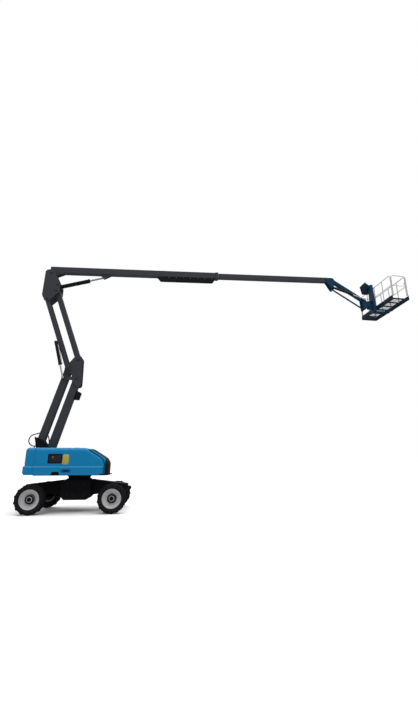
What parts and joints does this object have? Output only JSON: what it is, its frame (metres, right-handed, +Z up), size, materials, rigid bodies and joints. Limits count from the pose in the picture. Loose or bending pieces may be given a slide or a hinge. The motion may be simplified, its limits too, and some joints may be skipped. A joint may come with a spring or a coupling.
{
  "type": "articulating boom lift",
  "caption": "Self-propelled articulating boom lift with a folding tower, a telescopic boom, a jib and a railed work platform that turns.",
  "frame": {"origin": "on the ground under the slew axis, in the middle of the four wheels", "axes": "+X along the boom to the platform, +Z up, +Y to the left of someone looking along the boom"},
  "size_m": [15.2122, 2.44, 9.7752],
  "materials": {
    "hood_blue": "satin",
    "arm_grey": "satin",
    "frame_black": "satin",
    "jib_blue": "satin",
    "rail_grey": "satin",
    "barrel_black": "gloss",
    "rod_chrome": "polished",
    "tyre_rubber": "matte",
    "rim_silver": "satin",
    "battery_case": "matte",
    "hose_rubber": "matte",
    "control_case": "matte"
  },
  "bodies": {
    "chassis": {"chassis_frame": "frame_black", "axle_fixed": "frame_black", "axle_steer": "frame_black", "slew_ring": "frame_black"},
    "tie_rod": {"tie_rod": "frame_black"},
    "knuckle_near": {"knuckle_near": "frame_black"},
    "knuckle_far": {"knuckle_far": "frame_black"},
    "turntable": {"turntable_base": "frame_black", "counterweight": "hood_blue", "battery_block": "battery_case", "ground_control": "control_case", "tower_hose": "hose_rubber"},
    "hood_near": {"hood_near": "hood_blue", "hood_nose_near": "frame_black"},
    "hood_far": {"hood_far": "hood_blue", "hood_nose_far": "frame_black"},
    "boom_outer": {"boom_outer": "arm_grey", "cable_tray": "frame_black"},
    "lower_arm": {"lower_arm": "arm_grey", "valve_box": "frame_black"},
    "platform": {"platform_support": "jib_blue", "platform_floor": "jib_blue", "rail_front": "rail_grey", "rail_rear": "rail_grey", "rail_end": "rail_grey", "control_box": "control_case"},
    "gate": {"platform_gate": "rail_grey"},
    "lower_link": {"lower_link": "arm_grey"},
    "mid_knuckle": {"mid_knuckle": "arm_grey"},
    "upper_arm": {"upper_arm": "arm_grey"},
    "upper_link": {"upper_link": "arm_grey"},
    "top_knuckle": {"top_knuckle": "arm_grey"},
    "boom_inner": {"boom_inner": "arm_grey"},
    "jib_base": {"jib_base": "jib_blue"},
    "jib_beam": {"jib_beam": "jib_blue"},
    "jib_link": {"jib_link": "jib_blue"},
    "jib_end": {"jib_end": "jib_blue"},
    "lift_barrel": {"lift_barrel": "barrel_black"},
    "lift_rod": {"lift_rod": "rod_chrome"},
    "riser_barrel": {"riser_barrel": "barrel_black"},
    "riser_rod": {"riser_rod": "rod_chrome"},
    "jib_barrel": {"jib_barrel": "barrel_black"},
    "jib_rod": {"jib_rod": "rod_chrome"},
    "wheel_fixed_near": {"tyre_fixed_near": "tyre_rubber", "rim_fixed_near": "rim_silver"},
    "wheel_fixed_far": {"tyre_fixed_far": "tyre_rubber", "rim_fixed_far": "rim_silver"},
    "wheel_steer_near": {"tyre_steer_near": "tyre_rubber", "rim_steer_near": "rim_silver"},
    "wheel_steer_far": {"tyre_steer_far": "tyre_rubber", "rim_steer_far": "rim_silver"}
  },
  "joints": [
    {"name": "wheel_fixed_near_spin", "type": "hinge", "parent": "chassis", "child": "wheel_fixed_near", "pos_m": [1.275, -1.025, 0.47], "axis": [0, 1, 0], "continuous": true},
    {"name": "wheel_fixed_far_spin", "type": "hinge", "parent": "chassis", "child": "wheel_fixed_far", "pos_m": [1.275, 1.025, 0.47], "axis": [0, 1, 0], "continuous": true},
    {"name": "steer_near", "type": "hinge", "parent": "chassis", "child": "knuckle_near", "pos_m": [-1.275, -0.8, 0.47], "axis": [0, 0, 1], "range_deg": [-38, 38]},
    {"name": "steer_far", "type": "hinge", "parent": "chassis", "child": "knuckle_far", "pos_m": [-1.275, 0.8, 0.47], "axis": [0, 0, 1], "range_deg": [-38, 38]},
    {"name": "tie_rod_shift", "type": "slide", "parent": "chassis", "child": "tie_rod", "axis": [0, 1, 0], "range_m": [-0.12651, 0.12651]},
    {"name": "wheel_steer_near_spin", "type": "hinge", "parent": "knuckle_near", "child": "wheel_steer_near", "pos_m": [-1.275, -1.025, 0.47], "axis": [0, 1, 0], "continuous": true},
    {"name": "wheel_steer_far_spin", "type": "hinge", "parent": "knuckle_far", "child": "wheel_steer_far", "pos_m": [-1.275, 1.025, 0.47], "axis": [0, 1, 0], "continuous": true},
    {"name": "slew", "type": "hinge", "parent": "chassis", "child": "turntable", "pos_m": [0, 0, 1.1], "axis": [0, 0, 1], "continuous": true},
    {"name": "hood_near_lift", "type": "hinge", "parent": "turntable", "child": "hood_near", "pos_m": [0, -0.434, 2.099], "axis": [-1, 0, 0], "range_deg": [0, 60]},
    {"name": "hood_far_lift", "type": "hinge", "parent": "turntable", "child": "hood_far", "pos_m": [0, 0.434, 2.099], "axis": [1, 0, 0], "range_deg": [0, 60]},
    {"name": "tower_raise", "type": "hinge", "parent": "turntable", "child": "lower_arm", "pos_m": [-1.13, 0, 1.87], "axis": [0, -1, 0], "range_deg": [-75, 4]},
    {"name": "lower_link_turn", "type": "hinge", "parent": "turntable", "child": "lower_link", "pos_m": [-1.48, 0, 2.23], "axis": [0, -1, 0], "range_deg": [-75.01, 4.01]},
    {"name": "mid_level", "type": "hinge", "parent": "lower_arm", "child": "mid_knuckle", "pos_m": [-0.41864, 0, 4.66076], "axis": [0, -1, 0], "range_deg": [-4.01, 75.01]},
    {"name": "upper_arm_turn", "type": "hinge", "parent": "mid_knuckle", "child": "upper_arm", "pos_m": [-0.43864, 0, 5.40076], "axis": [0, -1, 0], "range_deg": [-3.66, 68.47]},
    {"name": "upper_link_turn", "type": "hinge", "parent": "mid_knuckle", "child": "upper_link", "pos_m": [-0.76864, 0, 5.02076], "axis": [0, -1, 0], "range_deg": [-3.66, 68.47]},
    {"name": "top_level", "type": "hinge", "parent": "upper_arm", "child": "top_knuckle", "pos_m": [-1.50886, 0, 8.20338], "axis": [0, -1, 0], "range_deg": [-68.47, 3.66]},
    {"name": "riser_barrel_turn", "type": "hinge", "parent": "upper_link", "child": "riser_barrel", "pos_m": [-1.26862, -0.33, 6.01053], "axis": [0, -1, 0], "range_deg": [-8.9, 0.48]},
    {"name": "riser_rod_slide", "type": "slide", "parent": "riser_barrel", "child": "riser_rod", "axis": [0.271, 0, -0.9626], "range_m": [-0.38519, 0.02102]},
    {"name": "boom_raise", "type": "hinge", "parent": "top_knuckle", "child": "boom_outer", "pos_m": [-1.77886, 0, 8.97038], "axis": [0, -1, 0], "range_deg": [-8, 70]},
    {"name": "lift_barrel_turn", "type": "hinge", "parent": "top_knuckle", "child": "lift_barrel", "pos_m": [-1.49886, 0, 8.47038], "axis": [0, -1, 0], "range_deg": [-7.31, 63.88]},
    {"name": "lift_rod_slide", "type": "slide", "parent": "lift_barrel", "child": "lift_rod", "axis": [0.9524, 0, 0.3049], "range_m": [-0.071, 0.6174]},
    {"name": "boom_extend", "type": "slide", "parent": "boom_outer", "child": "boom_inner", "axis": [0.9993, 0, 0.0384], "range_m": [-4.4, 0.2]},
    {"name": "nose_level", "type": "hinge", "parent": "boom_inner", "child": "jib_base", "pos_m": [10.10374, 0, 9.65203], "axis": [0, -1, 0], "range_deg": [-70.01, 8.01]},
    {"name": "jib_raise", "type": "hinge", "parent": "jib_base", "child": "jib_beam", "pos_m": [10.33174, 0, 9.66203], "axis": [0, -1, 0], "range_deg": [-28, 95]},
    {"name": "jib_link_turn", "type": "hinge", "parent": "jib_base", "child": "jib_link", "pos_m": [10.33174, 0, 9.22203], "axis": [0, -1, 0], "range_deg": [-28.01, 95.01]},
    {"name": "jib_level", "type": "hinge", "parent": "jib_beam", "child": "jib_end", "pos_m": [11.77342, 0, 8.76117], "axis": [0, -1, 0], "range_deg": [-95.01, 28.01]},
    {"name": "jib_barrel_turn", "type": "hinge", "parent": "jib_base", "child": "jib_barrel", "pos_m": [10.33174, -0.175, 9.22203], "axis": [0, -1, 0], "range_deg": [-26.61, 90.26]},
    {"name": "jib_rod_slide", "type": "slide", "parent": "jib_barrel", "child": "jib_rod", "axis": [0.9525, 0, -0.3045], "range_m": [-0.17458, 0.59111]},
    {"name": "platform_turn", "type": "hinge", "parent": "jib_end", "child": "platform", "pos_m": [12.06342, 0, 8.54117], "axis": [0, 0, 1], "range_deg": [-80, 80]},
    {"name": "gate_swing", "type": "hinge", "parent": "platform", "child": "gate", "pos_m": [12.48842, -1.182, 9], "axis": [0, 0, 1], "range_deg": [0, 85]}
  ],
  "couplings": [
    {"joint": "steer_far", "follows": "steer_near", "ratio": 1},
    {"joint": "tie_rod_shift", "follows": "steer_near", "m_per_rad": 0.19},
    {"joint": "lower_link_turn", "follows": "tower_raise", "ratio": 1},
    {"joint": "mid_level", "follows": "tower_raise", "ratio": -1},
    {"joint": "upper_arm_turn", "follows": "tower_raise", "ratio": -0.91281},
    {"joint": "upper_link_turn", "follows": "tower_raise", "ratio": -0.91281},
    {"joint": "top_level", "follows": "tower_raise", "ratio": 0.91281},
    {"joint": "riser_barrel_turn", "follows": "tower_raise", "ratio": 0.11853},
    {"joint": "riser_rod_slide", "follows": "tower_raise", "m_per_rad": 0.29388},
    {"joint": "lift_barrel_turn", "follows": "boom_raise", "ratio": 0.91238},
    {"joint": "lift_rod_slide", "follows": "boom_raise", "m_per_rad": 0.50494},
    {"joint": "nose_level", "follows": "boom_raise", "ratio": -1},
    {"joint": "jib_link_turn", "follows": "jib_raise", "ratio": 1},
    {"joint": "jib_level", "follows": "jib_raise", "ratio": -1},
    {"joint": "jib_barrel_turn", "follows": "jib_raise", "ratio": 0.95},
    {"joint": "jib_rod_slide", "follows": "jib_raise", "m_per_rad": 0.35621}
  ]
}
